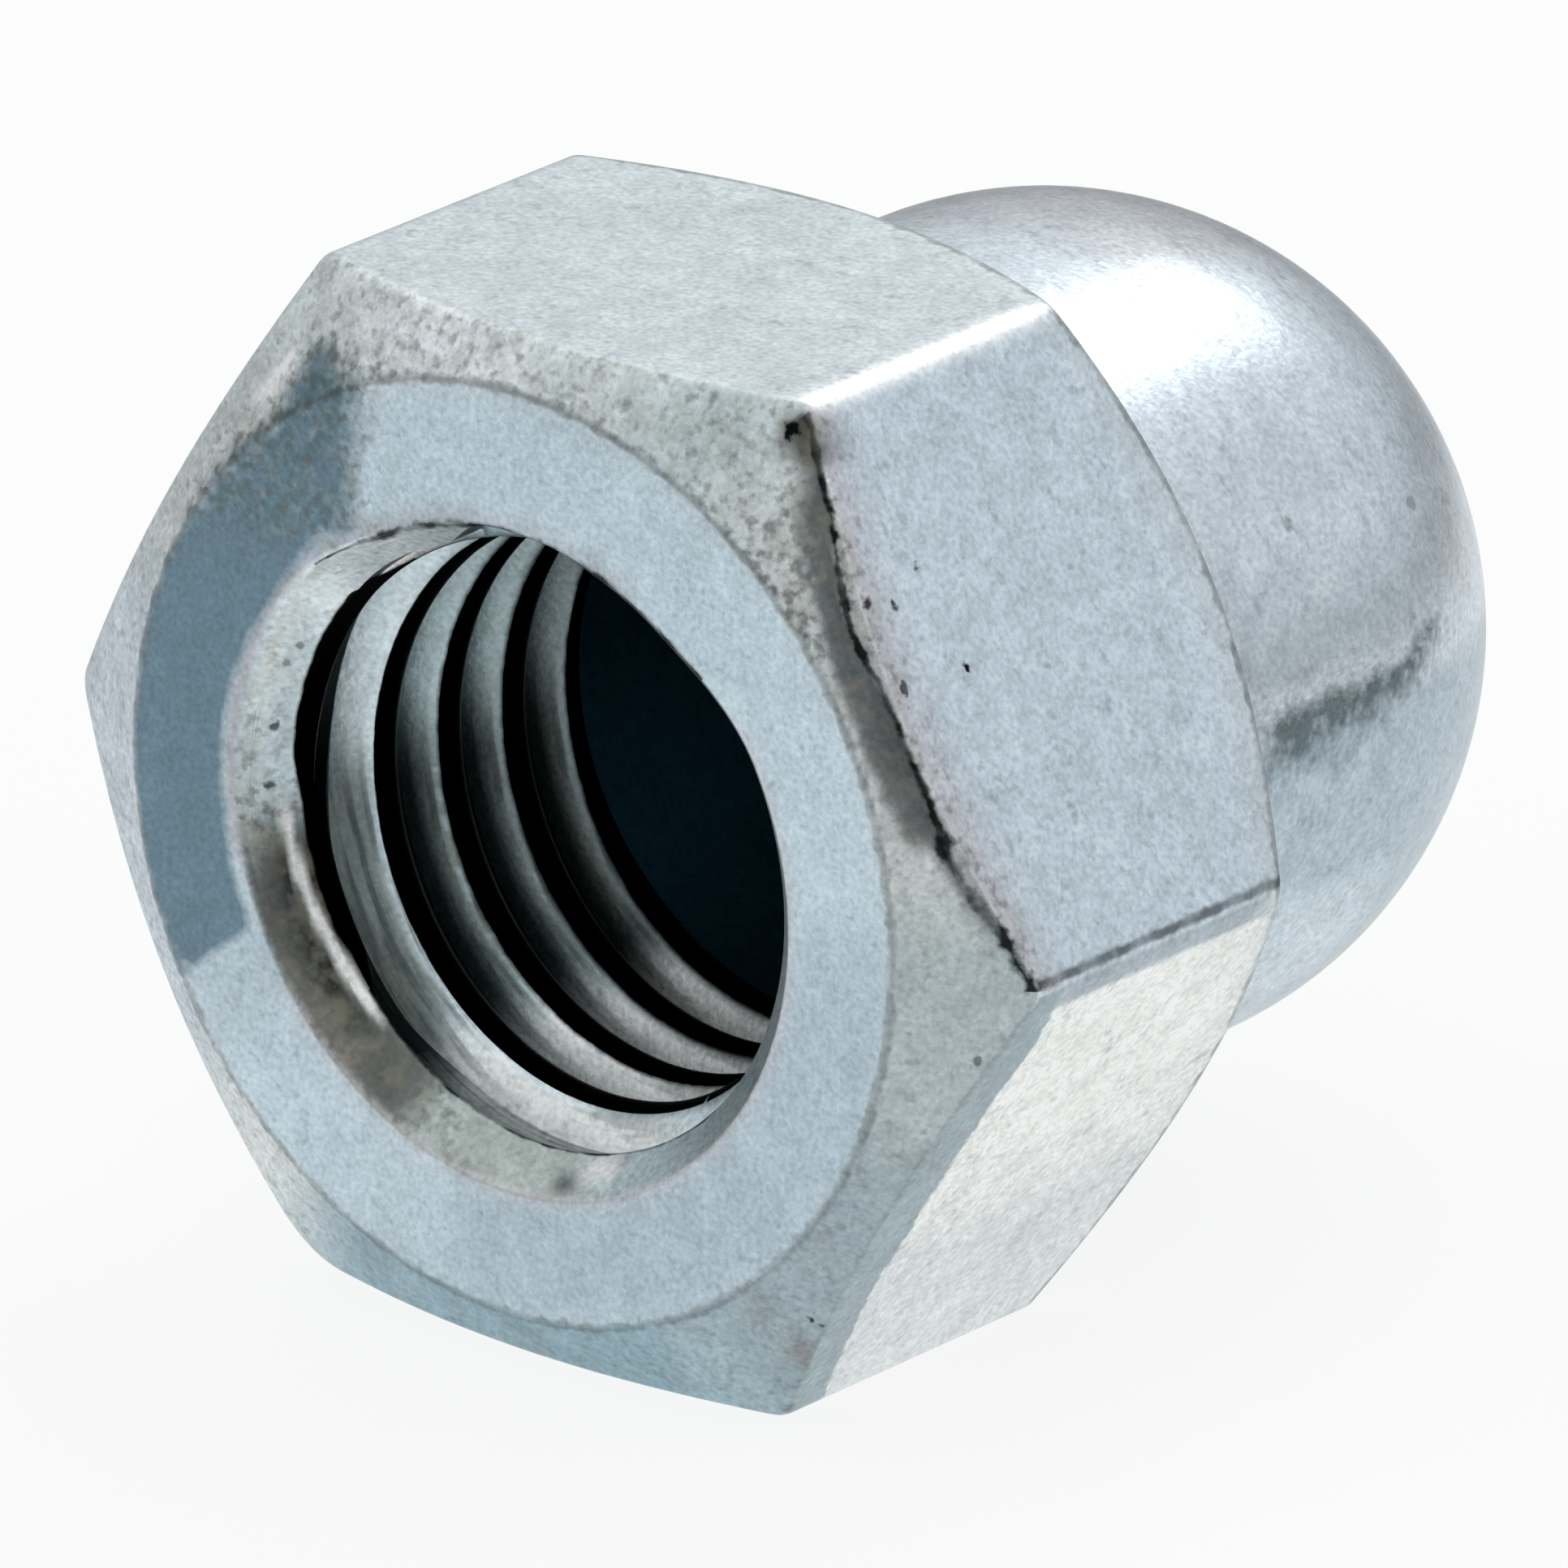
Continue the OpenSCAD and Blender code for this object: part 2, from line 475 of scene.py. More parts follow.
# Painted highlights: a bright sliver low in the countersink, and a glint on the front chamfer
painted_sliver_highlight = sink * sector(209, 26, 15) * bump_at(radius, 5.7 - 0.16 * rise(angle, 186, 229), 0.12)
painted_sliver_highlight = np.clip(1.6 * painted_sliver_highlight, 0, 1)
painted_glint_radius = radius + 0.025 * turn_from(129)
painted_glint = chamfer * sector(129, 6, 3) * rise(np.abs(painted_glint_radius - 9.28), 0.2, 0.1)
mouth_left = sector(165, 38, 26) * (y < 0.5)
mouth_top = sector(100, 42, 30) * (y < 0.3)
mouth_rim = outer * (y < 0.4) * bump_at(past_mouth, 0, 0.16) * sector(130, 80, 95)
right_face = dome_side * rise(y, 10, 11.5)


def linear(code):
    """A colour written as sRGB hex, as linear red, green, blue and alpha."""
    srgb = np.array([int(code[i : i + 2], 16) for i in (1, 3, 5)]) / 255
    return (*np.where(srgb <= 0.04045, srgb / 12.92, ((srgb + 0.055) / 1.055) ** 2.4), 1)


# The tint of the plating, laid on in this order: each colour is mixed into those before it,
# by an amount from 0 to 1 at each place. Every surface has its own whiteness, partly that of
# the forged or turned steel and partly painted light and shade, which makes each face as
# bright as its reflection of the room.
tint = np.tile(np.array(linear("#e3e9ea")[:3]), (len(points), 1))
for code, amount in (
    ("#d3dce3", on_dome),
    # Bearing ring
    ("#ccdfe9", ring_face),
    ("#b7cad5", ring_face * sector(285, 60, 30)),
    ("#bccdd6", 0.8 * ring_face * bump_at(angle, 212, 20)),
    ("#cfe0e8", 0.6 * ring_face * bump_at(angle, 250, 22)),
    ("#b9ccd8", 0.9 * ring_face * sector(345, 24, 10)),
    # Front chamfer and countersink
    ("#e1e8e8", chamfer),
    ("#f4f8fa", chamfer * bump_at(angle, 104, 20)),
    ("#c6d8da", 0.6 * chamfer * bump_at(angle, 68, 14)),
    ("#c9dae0", sink),
    ("#eefaff", sink * sector(118, 42, 24)),
    # Thread and the hole behind it: painted shade deeper in, and painted light on the first
    # groove's floor at the top left of the mouth
    ("#e6f7fd", inside),
    ("#b7cdd1", 0.9 * inside * rise(y, 2.3, 4.2)),
    ("#c8dfe8", inside * rise(y, 2.6, 2.3) * sector(115, 50, 30)),
    ("#bfd6e1", inside * rise(y, 1.5, 1.3) * sector(100, 55, 40)),
    ("#ffffff", inside * (turns < 0.05) * rise(angle, 108, 118) * (angle < 200)),
    # Top and lower right flat: painted shade on the top flat, and painted light on the lower
    # right flat, growing towards its corner at the right
    ("#d3dbde", flats * sector(90, 30.1, 29.9)),
    ("#f7fbf8", flats * sector(330, 30.1, 29.9) * rise(turn_from(330), -16, 6)),
    # Painted shade deep in the hole, past the thread
    ("#5b8492", ~outer * rise(y, 7.9, 8.6)),
    # Right-hand flat: a lip at its front edge, and painted shade beside that edge: a dark band
    # on the chamfer, darkest at the edge
    ("#e0eef8", flats * right_flat),
    ("#d9d9e0", right_flat * rise(past_front, 0, 0.1) * rise(past_front, 0.6, 0.4)),
    ("#c3c2c6", 0.8 * right_flat * chamfer * rise(past_front, -0.6, -0.5)),
    ("#8f8d8e", front_edge_shade_band),
    ("#5c5e60", 0.6 * front_edge_shade * rise(past_front, -0.8, -0.15)),
    ("#454d54", 0.8 * front_edge_shade * rise(past_front_shade_edge, -0.4, -0.12) * sector(28, 7, 13)),
    ("#3b3f42", 0.5 * front_edge_shade * bump_at(angle, 25, 11) * rise(past_front, -1.1, -0.3)),
    # Painted highlight along the upper corner of that flat, and a darker strip along the one below
    # it
    ("#ffffff", outer * bump_at(angle, 60.3, 2.4) * rise(past_front, 0, 0.2)
     * rise(past_back, 0, -0.2)),
    ("#b3c0c9", outer * rise(turn_from(0), 0.3, -0.2) * rise(turn_from(0), -3.2, -2.2)
     * rise(past_front, 0, 0.2) * rise(past_back, 0, -0.1)),
    # Front chamfer, from the right round the bottom to the left
    ("#bccacd", chamfer * sector(350, 25, 10)),
    ("#a6b7be", chamfer * sector(318, 28, 14)),
    ("#99b5c1", chamfer * sector(270, 40, 20)),
    ("#d0dae2", chamfer * sector(190, 40, 25)),
    # Brown stain low in the countersink with a painted highlight on a sliver of it, the worn rim
    # of the mouth, and painted glints on the front chamfer and low in the countersink
    ("#5a564d", 0.88 * sink * sector(222, 37, 22)),
    ("#bac4c0", sink * sector(268, 26, 14)),
    ("#2f2c29", 0.9 * sink * sector(210, 28, 10) * rise(radius, 6.15, 5.75)),
    ("#f8faf8", painted_sliver_highlight),
    ("#b3b1b5", 0.8 * mouth_left * bump_at(radius, 6.38, 0.2)),
    ("#d3dbd8", mouth_left * bump_at(radius, 6.13, 0.1)),
    ("#a8a5ab", 0.9 * mouth_top * bump_at(past_mouth, 0.13, 0.14)),
    ("#d2cbcb", 0.5 * mouth_rim),
    ("#ffffff", painted_glint),
    ("#ffffff", sink * bump_at(angle, 289, 8) * bump_at(radius, 5.83, 0.35)),
    ("#6a7270", sink * bump_at(angle, 281.5, 4) * bump_at(radius, 6.05, 0.25)),
    # Handling marks by the corners of the front chamfer
    ("#463f30", 0.9 * spread((5.4, 1.02, 8.98), 0.6)),
    ("#4b4b42", 0.85 * spread((5.75, 1.0, 8.72), 0.5)),
    ("#2b2b29", 0.8 * spread((5.6, 1.4, -9.25), 0.35)),
    ("#8d8b8e", 0.7 * spread((6.35, 0.85, -7.9), 0.6)),
    ("#4f6763", 0.8 * spread((-4.65, 0.31, 7.9), 0.55)),
    # Painted shade on the rounded front edge of the lower right flat
    ("#8f9da2", 0.8 * outer * sector(330, 30, 28) * bump_at(past_front, 0, 0.16)),
    # Painted shade in the thread: over its last turns, darkest at the lower left, and on the
    # flanks and their feet at the lower left; painted light on the flanks at the bottom
    ("#8d9a9d", 0.8 * last_turns),
    ("#454f52", 0.8 * last_turns * rise(angle, 185, 230)),
    ("#1f2625", 0.9 * tapped * sector(233, 23, 8) * rise(to_next, -0.22, -0.42)
     * (to_next > -1.5) * (turns < 0.6)),
    ("#838d87", 0.8 * tapped * sector(210, 36, 16) * (along < 0) * (turns > 0.2)),
    ("#20272a", np.where(turns < 0.9, 0.4, 0.9) * tapped * sector(213, 40, 18)
     * rise(along, -0.09, -0.25) * (turns > 0.2)),
    ("#fbfdfb", 0.9 * tapped * (along < 0) * sector(268, 34, 18)),
    # Dome: painted light on the right of its side, and painted shade lower on its side and at its
    # top
    ("#d6e1e9", right_face * sector(30, 30, 18)),
    ("#e2ecf4", right_face * sector(22, 16, 8)),
    ("#e6f3fb", right_face * sector(17, 10, 4) * rise(y, 17, 15.5)),
    ("#b3c4cd", dome_side * rise(turn_from(9), 0, -6) * rise(turn_from(9), -75, -50)),
    ("#cad9e1", dome_side * sector(330, 14, 8) * rise(y, 16, 14.5)),
    ("#c3c6ca", dome_side * sector(95, 30, 18) * rise(y, 13, 15)),
):
    tint += amount[:, None] * (np.array(linear(code)[:3]) - tint)

# Left side of the face: a darker blue-grey patch. patch is the distance outside it.
patch_inside = 6.45 + 0.15 * rise(angle, 150, 175)
patch_outside = 8.6 + 0.7 * bump_at(angle, 122, 9)
patch = np.maximum(patch_inside - radius, radius - patch_outside)
patch = np.maximum(patch, 0.8 * (x + 3.75))
patch = np.maximum(patch, 0.65 * (x + 7.2) - 0.75 * (z + 4.1)) * (1 - 0.6 * rise(z, 3.8, 5))
patch = np.where(outer & (y < 0.6) & (x < 0), patch, nowhere)

# Dirt: brown and dark specks, thickest at the top of the front chamfer and low in the mouth
dirt = chamfer * (0.25 + 0.35 * sector(82, 50, 25) + 0.8 * bump_at(angle, 46, 14))
dirt += sink * (1.1 * sector(222, 50, 20) + 0.4 * sector(180, 40, 20))
dirt += 0.7 * right_flat * bump_at(past_front, 0.1, 0.35) + 0.5 * front_edge_shade_band
dirt *= (1 - painted_sliver_highlight) * (1 - painted_glint)
dirt += 0.8 * rise(patch, 0.3, 0) * rise(z, 3.8, 5)

# Streaks that the tap left, and a painted dark reflection: one long streak along the side of
# the dome, with half the painted shade band by the right flat's front edge added
streaks = tapped * (0.7 * sector(212, 38, 12) + 0.4 * sector(262, 36, 20))
below_dark_reflection = 9.5 + 5 * rise(y, 15, 16.8) - turn_from(0)
dark_reflection_end = 14 - 8 * rise(y, 13.5, 16)
painted_reflection_and_shade = on_dome * rise(below_dark_reflection, -2.2, 2) * rise(below_dark_reflection, dark_reflection_end, 1)
painted_reflection_and_shade = painted_reflection_and_shade * rise(y, 10.7, 11.3) * rise(y, 17, 15.8) + 0.5 * front_edge_shade_band

# Painted black shade: on the crests of the thread, which face the dark hole, on the countersink
# by the first crest at the left, and in the first groove at the left
on_crest = np.maximum(-along, along - crest_width / mm)
on_crest = np.where((inside > 0.5) & (turns > 1) & (y < 8.2), on_crest, nowhere)
first_band = radius - 5.57 + 0.1 * rise(angle, 175, 190) + 0.1 * rise(angle, 212, 222)
first_band += 0.15 * rise(angle, 140, 127)
at_first_crest = ~outer & (np.abs(angle - 176) < 50) & (y < 1.5) & (turns < 0.9) & (along > -0.5)
first_groove = to_next + 0.4 + 0.25 * rise(angle, 174, 200) + 0.4 * rise(angle, 216, 229)
in_first_groove = ~outer & (np.abs(angle - 180) < 50) & (turns > 0.2) & (turns < 0.9)
in_first_groove &= to_next > -1.5
painted_black_shade = np.minimum(on_crest, np.where(at_first_crest, first_band, nowhere))
painted_black_shade = np.minimum(painted_black_shade, np.where(in_first_groove, first_groove, nowhere))

# Distances from the thin dark lines, and from the strip of painted shade along the lower right flat
front_shade_line = past_front_shade_edge * (1 - 0.45 * rise(angle, 26, 18))
front_shade_line = np.where(right_flat > 0.5, front_shade_line, nowhere)
rear_line = np.where(outer, past_back + 0.05, nowhere)
below_corner = z * math.cos(math.radians(30)) - x * math.sin(math.radians(30)) + 5.3
at_right = (turn_from(30) > -35) & (turn_from(30) < 0)
side_line = np.where(at_right & (past_front > -0.05) & (past_back < 0.05), below_corner, nowhere)
rim_line = np.where(outer & (y < 0.2), radius - face_radius / mm, nowhere)
# A line of painted shade where the countersink meets the thread low in the mouth, and just inside
# the rim at its top
at_bottom = (np.abs(turn_from(272)) < 48) & (radius < 6.25)
mouth_shade_line = np.where(at_bottom, thread_gap / mm, nowhere)
at_top = (np.abs(turn_from(92)) < 46) & (y < 0.3)
mouth_shade_line = np.where(at_top, (past_mouth + 0.03) * (1 + 3 * rise(angle, 120, 134)), mouth_shade_line)
lower_shade_width = 1.12 - 0.45 * rise(turn_from(330), 23, 29.5) - 0.2 * rise(turn_from(330), -6, -13)
on_lower_flat = outer & (np.abs(turn_from(330)) < 29.9) & (past_front > -0.01) & (y < 5)
lower_edge_shade = np.where(on_lower_flat, past_front - lower_shade_width, nowhere)

# What the plating reads at each point of the mesh: amounts from 0 to 1, distances from the
# edges of marks in millimetres, less than 0 inside them, and the roughness
stored = {
    "dirt": np.clip(dirt, 0, 1),
    "front_shade_line": front_shade_line,
    "rear_line": rear_line,
    "side_line": side_line,
    "rim_line": rim_line,
    "mouth_shade_line": mouth_shade_line,
    "patch": patch,
    "painted_black_shade": painted_black_shade,
    "lower_edge_shade": lower_edge_shade,
    "along": along,
    "streaks": np.clip(streaks, 0, 1),
    "painted_reflection_and_shade": painted_reflection_and_shade,
    "roughness": 0.42 - 0.1 * on_dome + 0.06 * chamfer,
}
for name, values in stored.items():
    layer = mesh.attributes.new(name, "FLOAT", "POINT")
    layer.data.foreach_set("value", values.astype(np.float32))
tint = np.concatenate([tint, np.ones((len(tint), 1))], axis=1)
layer = mesh.attributes.new("tint", "FLOAT_COLOR", "POINT")
layer.data.foreach_set("color", tint.astype(np.float32).ravel())


def add(tree, kind, inputs=None, output=0, **settings):
    """Adds a node, sets its settings, fills its inputs, by name or by number, with values or
    with links, and gives back the output asked for."""
    node = tree.nodes.new(kind)
    for name, value in settings.items():
        setattr(node, name, value)
    for name, value in (inputs or {}).items():
        if isinstance(value, bpy.types.NodeSocket):
            tree.links.new(value, node.inputs[name])
        else:
            node.inputs[name].default_value = value
    return node.outputs[output] if node.outputs else None


# Blue-white zinc plating, laid on in a barrel: a bright metal coat a few thousandths of a
# millimetre thick, which follows the forged and turned steel below it and takes the knocks of
# the barrel. To the eye that is a satin, bluish white metal with soft clouds. The real grain,
# about a hundredth of a millimetre, would not show, so it is drawn 0.12 mm wide. Specks of
# dirt are about 0.2 mm wide, blotches 0.4 mm and clouds 1.1 mm.
plating = bpy.data.materials.new("blue_white_zinc_plating")
plating.use_nodes = True
tree = plating.node_tree
tree.nodes.clear()
place = add(tree, "ShaderNodeTexCoord", output="Object")
mark = {
    name: add(tree, "ShaderNodeAttribute", output="Fac", attribute_name=name) for name in stored
}
pattern = {
    name: add(tree, "ShaderNodeTexNoise", {
        "Vector": place, "Scale": 1 / (size * mm), "Detail": detail,
    })
    for name, size, detail in (
        ("grain", 0.12, 2), ("speck", 0.2, 3), ("fine_smear", 0.22, 4), ("fleck", 0.3, 3),
        ("ripple", 0.35, 3), ("blotch", 0.4, 4), ("stain", 0.5, 4), ("smear", 0.7, 5),
        ("break", 0.8, 3), ("cloud", 1.1, 3),
    )
}

# The streaks of the tap: a pattern drawn out round the hole and narrow along the thread
round_hole = add(tree, "ShaderNodeSeparateXYZ", {"Vector": place}).node.outputs
lie = add(tree, "ShaderNodeCombineXYZ", {
    axis: add(tree, "ShaderNodeMath", {0: source, 1: scale}, operation="MULTIPLY")
    for axis, source, scale in (
        ("X", mark["along"], 9.0),
        ("Y", round_hole["X"], 0.4 / mm),
        ("Z", round_hole["Z"], 0.4 / mm),
    )
})
pattern["streak"] = add(tree, "ShaderNodeTexNoise", {"Vector": lie, "Scale": 1.0, "Detail": 3})

# Patterns added to the marks, so that their edges wobble: each is source * share + base
wobble = add(tree, "ShaderNodeMath", {0: pattern["ripple"], 1: 0.5, 2: -0.25},
             operation="MULTIPLY_ADD")
coarse_smear = add(tree, "ShaderNodeMath", {0: pattern["smear"], 1: 1.2, 2: mark["painted_reflection_and_shade"]},
                   operation="MULTIPLY_ADD")
mixed = {
    name: add(tree, "ShaderNodeMath", {0: source, 1: share, 2: base}, operation="MULTIPLY_ADD")
    for name, source, share, base in (
        ("wear_and_shade", wobble, 1.0, mark["lower_edge_shade"]),
        ("painted_reflection_and_shade", pattern["fine_smear"], 1.3, coarse_smear),
        ("patch", wobble, 0.5, mark["patch"]),
        ("dirt", mark["dirt"], 0.09, pattern["speck"]),
        ("dirt_cover", mark["dirt"], 0.45, 0.3),
        ("painted_black_shade", wobble, 0.1, mark["painted_black_shade"]),
        ("uneven_spot", pattern["speck"], 0.35 * mm, -0.175 * mm),
    )
}

# Each stretched from a range of its own to the range that it is used with
ranged = {
    name: add(tree, "ShaderNodeMapRange", {
        "Value": value, "From Min": start, "From Max": end, "To Min": at_start, "To Max": at_end,
    })
    for name, value, start, end, at_start, at_end in (
        ("wear_and_shade", mixed["wear_and_shade"], -0.05, 0.05, 1.0, 0.0),
        ("painted_reflection_and_shade", mixed["painted_reflection_and_shade"], 1.4, 2.25, 0.0, 0.88),
        ("patch", mixed["patch"], -0.1, 0.12, 1.0, 0.0),
        ("patch_blotch", pattern["blotch"], 0.42, 0.6, 0.0, 0.8),
        ("patch_fleck", pattern["fleck"], 0.5, 0.7, 0.0, 0.6),
        ("grain", pattern["grain"], 0.3, 0.7, 0.84, 1.12),
        ("cloud", pattern["cloud"], 0.3, 0.7, 0.93, 1.06),
        ("blotch", pattern["blotch"], 0.3, 0.7, 0.91, 1.07),
        ("stain", pattern["stain"], 0.45, 0.65, 0.0, 1.0),
        ("dirt", mixed["dirt"], 0.55, 0.75, 0.0, 1.0),
        ("streak", pattern["streak"], 0.46, 0.62, 0.0, 0.85),
        ("painted_black_shade", mixed["painted_black_shade"], -0.01, 0.03, 1.0, 0.0),
        ("break", pattern["break"], 0.4, 0.55, 0.6, 1.0),
    )
}
off_patch = add(tree, "ShaderNodeMath", {0: ranged["patch"], 1: -0.35, 2: 0.4},
                operation="MULTIPLY_ADD")

# Amounts that are a product of several
product = {}
for name, *factors in (
    ("patch_blotch", ranged["patch"], mark["dirt"], ranged["patch_blotch"]),
    ("patch_fleck", ranged["patch"], mark["dirt"], ranged["patch_fleck"]),
    ("shade", ranged["grain"], ranged["cloud"], ranged["blotch"]),
    ("stain", ranged["stain"], mark["dirt"], off_patch),
    ("dirt", ranged["dirt"], mixed["dirt_cover"]),
    ("streak", ranged["streak"], mark["streaks"]),
):
    product[name] = factors[0]
    for factor in factors[1:]:
        product[name] = add(tree, "ShaderNodeMath", {0: product[name], 1: factor},
                            operation="MULTIPLY")

# The painted shade along the lower right flat, the painted dark reflection on the dome and
# the patch lie under the shading of the grain
colour = add(tree, "ShaderNodeAttribute", output="Color", attribute_name="tint")
for code, amount in (
    ("#a3b5bb", ranged["wear_and_shade"]),
    ("#56696d", ranged["painted_reflection_and_shade"]),
    ("#748e9d", ranged["patch"]),
    ("#587375", product["patch_blotch"]),
    ("#a3b8bd", product["patch_fleck"]),
):
    colour = add(tree, "ShaderNodeMix", {0: amount, 6: colour, 7: linear(code)}, output=2,
                 data_type="RGBA")
colour = add(tree, "ShaderNodeVectorMath", {0: colour, "Scale": product["shade"]},
             operation="SCALE")

# Dirt, streaks, the painted black shade, lines and spots lie over it
covers = [
    ("#a09d8a", product["stain"]),
    ("#6c6e6a", product["dirt"]),
    ("#232b2a", product["streak"]),
    ("#000000", ranged["painted_black_shade"]),
]

# The front line and the mouth line are painted shade: along the right flat's front edge, and where
# the countersink meets the thread
# Thin dark lines: half width in millimetres, strength, how unevenly wide, and colour
for name, half_width, strength, uneven, code in (
    ("front_shade_line", 0.04, 0.95, 0.35, "#0a0b0d"), ("rear_line", 0.04, 0.6, 0.3, "#6d777a"),
    ("side_line", 0.05, 0.75, 0.06, "#4b5358"), ("rim_line", 0.04, 0.5, 0.25, "#5a6468"),
    ("mouth_shade_line", 0.035, 0.95, 0.15, "#0b0d10"),
):
    away = add(tree, "ShaderNodeMath", {0: wobble, 1: 0.3, 2: mark[name]},
               operation="MULTIPLY_ADD")
    away = add(tree, "ShaderNodeMath", {0: away}, operation="ABSOLUTE")
    narrower = add(tree, "ShaderNodeMath", {0: pattern["blotch"], 1: -uneven, 2: 0.5 * uneven},
                   operation="MULTIPLY_ADD")
    away = add(tree, "ShaderNodeMath", {0: away, 1: narrower}, operation="ADD")
    line = add(tree, "ShaderNodeMapRange", {
        "Value": away, "From Min": half_width, "From Max": half_width + 0.08,
        "To Min": strength, "To Max": 0.0,
    })
    line = add(tree, "ShaderNodeMath", {0: line, 1: ranged["break"]}, operation="MULTIPLY")
    covers.append((code, line))

# Single pits and specks: place and radius in millimetres, and depth of colour
for spot, size, depth in (
    ((8.10, 2.51, 4.97), 0.045, 1.0), ((7.15, 2.24, 6.62), 0.02, 0.8),
    ((5.28, 1.01, 9.03), 0.1, 1.0), ((9.95, 0.78, -1.35), 0.05, 0.6),
    ((6.72, 0.66, -7.2), 0.05, 0.9), ((6.55, 0.62, -7.05), 0.03, 0.9),
    ((6.63, 0.60, -6.9), 0.02, 0.7), ((6.66, 13.18, 4.15), 0.1, 0.35),
    ((6.72, 16.59, 3.62), 0.1, 0.35), ((7.26, 0.78, 6.43), 0.07, 0.9),
    ((7.38, 1.35, 6.2), 0.05, 0.9), ((8.06, 0.85, 5.03), 0.06, 0.8),
    ((-5.30, 0.50, 2.36), 0.02, 0.5), ((-5.54, 0.42, 1.96), 0.03, 0.5),
    ((-5.77, 0.49, 0.71), 0.05, 0.8), ((-5.86, 0.43, -0.41), 0.04, 0.8),
):
    centre = tuple(coordinate * mm for coordinate in spot)
    apart = add(tree, "ShaderNodeVectorMath", {0: place, 1: centre}, output="Value",
                operation="DISTANCE")
    apart = add(tree, "ShaderNodeMath", {0: apart, 1: mixed["uneven_spot"]}, operation="ADD")
    pit = add(tree, "ShaderNodeMapRange", {
        "Value": apart, "From Min": size * mm, "From Max": (size + 0.06) * mm,
        "To Min": depth, "To Max": 0.0,
    })
    covers.append(("#101214", pit))

for code, amount in covers:
    colour = add(tree, "ShaderNodeMix", {0: amount, 6: colour, 7: linear(code)}, output=2,
                 data_type="RGBA")

relief = add(tree, "ShaderNodeBump", {
    "Height": pattern["grain"], "Strength": 0.3, "Distance": 0.02 * mm,
})
metal = add(tree, "ShaderNodeBsdfPrincipled", {
    "Base Color": colour, "Metallic": 1.0, "Roughness": mark["roughness"], "Normal": relief,
})
add(tree, "ShaderNodeOutputMaterial", {"Surface": metal})
mesh.materials.append(plating)


# ---- The table top -----------------------------------------------------------------------
# A plain sheet of board, painted white, at the height of the flat that the nut lies on. The
# camera and the nut's reflections see it nearly white, and it keeps the nut's soft shadow.

table_half = 2.0
table_height = low[2] - 0.01 * mm
table_corners = [(-1, -1), (1, -1), (1, 1), (-1, 1)]
sheet = bpy.data.meshes.new("table_top")
sheet.from_pydata(
    [(table_half * right, table_half * back, table_height) for right, back in table_corners],
    [], [(0, 1, 2, 3)],
)
table = bpy.data.objects.new("table_top", sheet)
bpy.context.scene.collection.objects.link(table)

# White paint, rolled on and dried matt: it scatters light evenly, with no gloss of its own.
white_paint = bpy.data.materials.new("white_table_paint")
white_paint.use_nodes = True
tree = white_paint.node_tree
tree.nodes.clear()
ray = add(tree, "ShaderNodeLightPath").node.outputs
painted = add(tree, "ShaderNodeBsdfDiffuse", {"Color": linear("#f0f0f0")})

# Painted light: in reflections the table glows, a pool of light bright round the nut and
# darker further off
table_place = add(tree, "ShaderNodeTexCoord", output="Object")
from_nut = add(tree, "ShaderNodeVectorMath", {0: table_place}, output="Value",
               operation="LENGTH")
brightness = add(tree, "ShaderNodeMapRange", {
    "Value": from_nut, "From Min": 0.05, "From Max": 0.12, "To Min": 1.0, "To Max": 0.35,
})
white = (1, 1, 1, 1)
painted_light_pool = add(tree, "ShaderNodeEmission", {"Color": white, "Strength": brightness})
background = add(tree, "ShaderNodeEmission", {"Color": white, "Strength": 1.0})
background_share = add(tree, "ShaderNodeMath", {0: ray["Is Camera Ray"], 1: 0.85},
                       operation="MULTIPLY")
surface = add(tree, "ShaderNodeMixShader", {0: ray["Is Glossy Ray"], 1: painted, 2: painted_light_pool})
surface = add(tree, "ShaderNodeMixShader", {0: background_share, 1: surface, 2: background})
add(tree, "ShaderNodeOutputMaterial", {"Surface": surface})
sheet.materials.append(white_paint)


# ---- The light ---------------------------------------------------------------------------
# A large soft lamp above and behind the nut, in a plain bright room that is darker towards
# the table and a little darker towards the right.

studio = bpy.data.worlds.new("studio")
bpy.context.scene.world = studio
studio.use_nodes = True
tree = studio.node_tree
tree.nodes.clear()
direction = add(tree, "ShaderNodeTexCoord", output="Generated")
towards = add(tree, "ShaderNodeSeparateXYZ", {"Vector": direction}).node.outputs
room = add(tree, "ShaderNodeValToRGB", {"Fac": towards["Z"]})

# The brightness of the walls, from the height of the table upwards
wall = room.node.color_ramp
wall.elements.new(0.15)
for step, height, shade in (
    (0, 0.0, (0.35, 0.36, 0.37, 1)),
    (1, 0.15, (0.66, 0.68, 0.70, 1)),
    (2, 0.5, (0.85, 0.87, 0.88, 1)),
):
    wall.elements[step].position = height
    wall.elements[step].color = shade

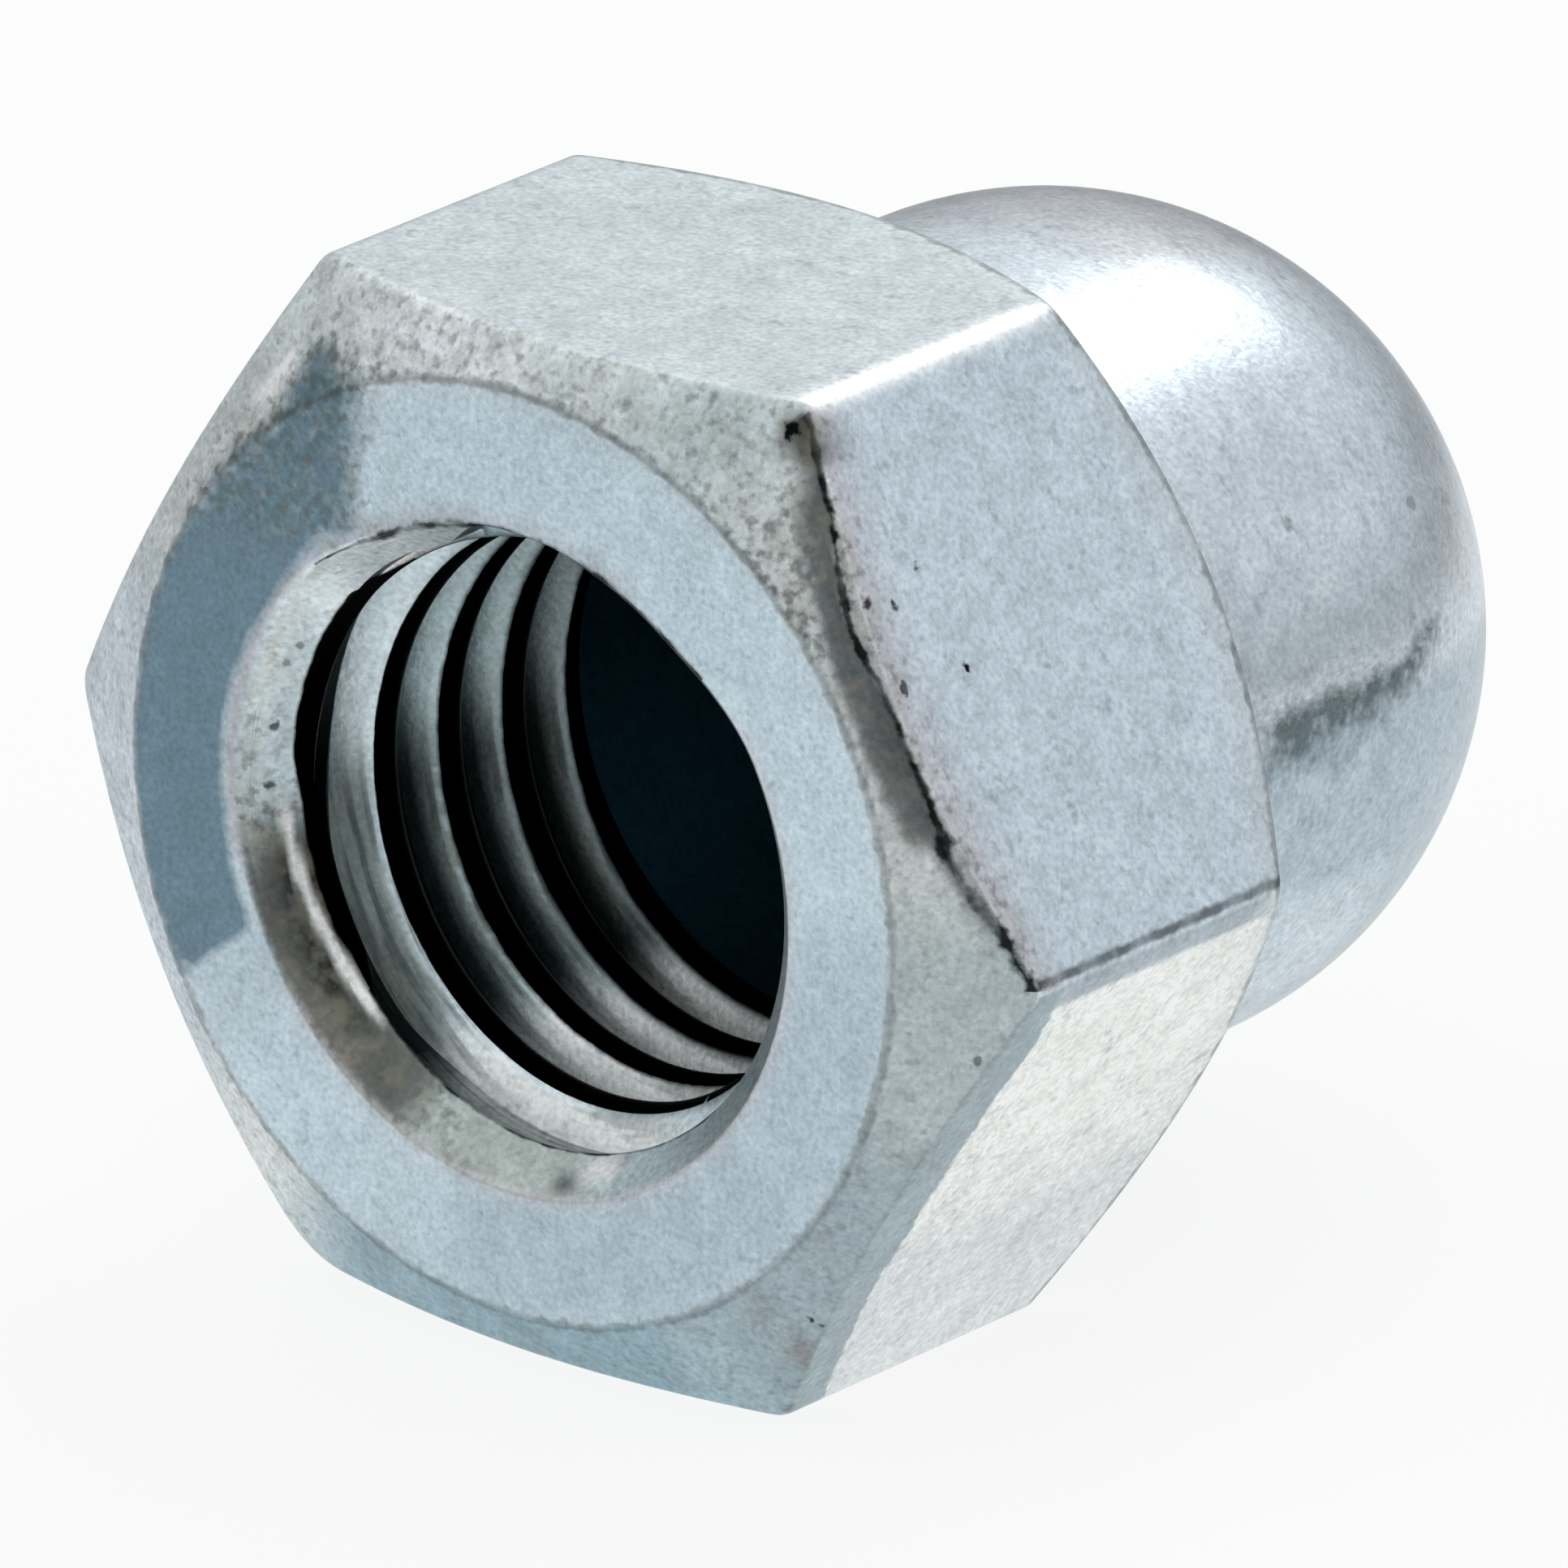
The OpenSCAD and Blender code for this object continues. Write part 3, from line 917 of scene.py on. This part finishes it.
sideways = add(tree, "ShaderNodeMath", {0: towards["X"], 1: -0.12, 2: 1.0},
               operation="MULTIPLY_ADD")
room_light = add(tree, "ShaderNodeBackground", {"Color": room, "Strength": sideways})
backdrop = add(tree, "ShaderNodeBackground", {"Color": white, "Strength": 1.0})
seen = add(tree, "ShaderNodeLightPath", output="Is Camera Ray")
surface = add(tree, "ShaderNodeMixShader", {0: seen, 1: room_light, 2: backdrop})
add(tree, "ShaderNodeOutputWorld", {"Surface": surface})

# The lamp faces the nut, which is at the origin, and is turned so that its long side lies
# as the highlight on the dome does
lamp_distance = 0.25
lamp_data = bpy.data.lights.new("soft_lamp", "AREA")
lamp_data.shape = "RECTANGLE"
lamp_data.size, lamp_data.size_y = 0.14, 0.07
lamp_data.energy = 0.085
lamp = bpy.data.objects.new("soft_lamp", lamp_data)
bpy.context.scene.collection.objects.link(lamp)
towards_lamp = Vector((-0.138, 0.668, 0.731)).normalized()
long_side = Vector((0.49, 0.56, -0.31))
long_side = (long_side - towards_lamp * long_side.dot(towards_lamp)).normalized()
short_side = towards_lamp.cross(long_side)
lamp_turn = Matrix((long_side, short_side, towards_lamp)).transposed().to_4x4()
lamp.matrix_world = Matrix.Translation(towards_lamp * lamp_distance) @ lamp_turn


# ---- The camera --------------------------------------------------------------------------
# A long lens, looking down at the mouth of the thread from the front right. It stands back
# along its line of sight from the point that it is aimed at.

azimuth, elevation, roll = math.radians(39.13), math.radians(21.77), math.radians(1.37)
camera_distance = 516.2 * mm
aim = Vector((3.373, 3.389, 1.253)) * mm
lens = bpy.data.cameras.new("camera")
lens.lens = 680.9
lens.sensor_width = 36
lens.clip_start, lens.clip_end = 0.01, 10
camera = bpy.data.objects.new("camera", lens)
bpy.context.scene.collection.objects.link(camera)
back = Vector((
    math.sin(azimuth) * math.cos(elevation),
    -math.cos(azimuth) * math.cos(elevation),
    math.sin(elevation),
))
camera.location = aim + back * camera_distance
camera.rotation_mode = "QUATERNION"
upright = (-back).to_track_quat("-Z", "Y")
camera.rotation_quaternion = upright @ Quaternion((0, 0, 1), roll)
bpy.context.scene.camera = camera
bpy.context.scene.view_settings.view_transform = "Standard"
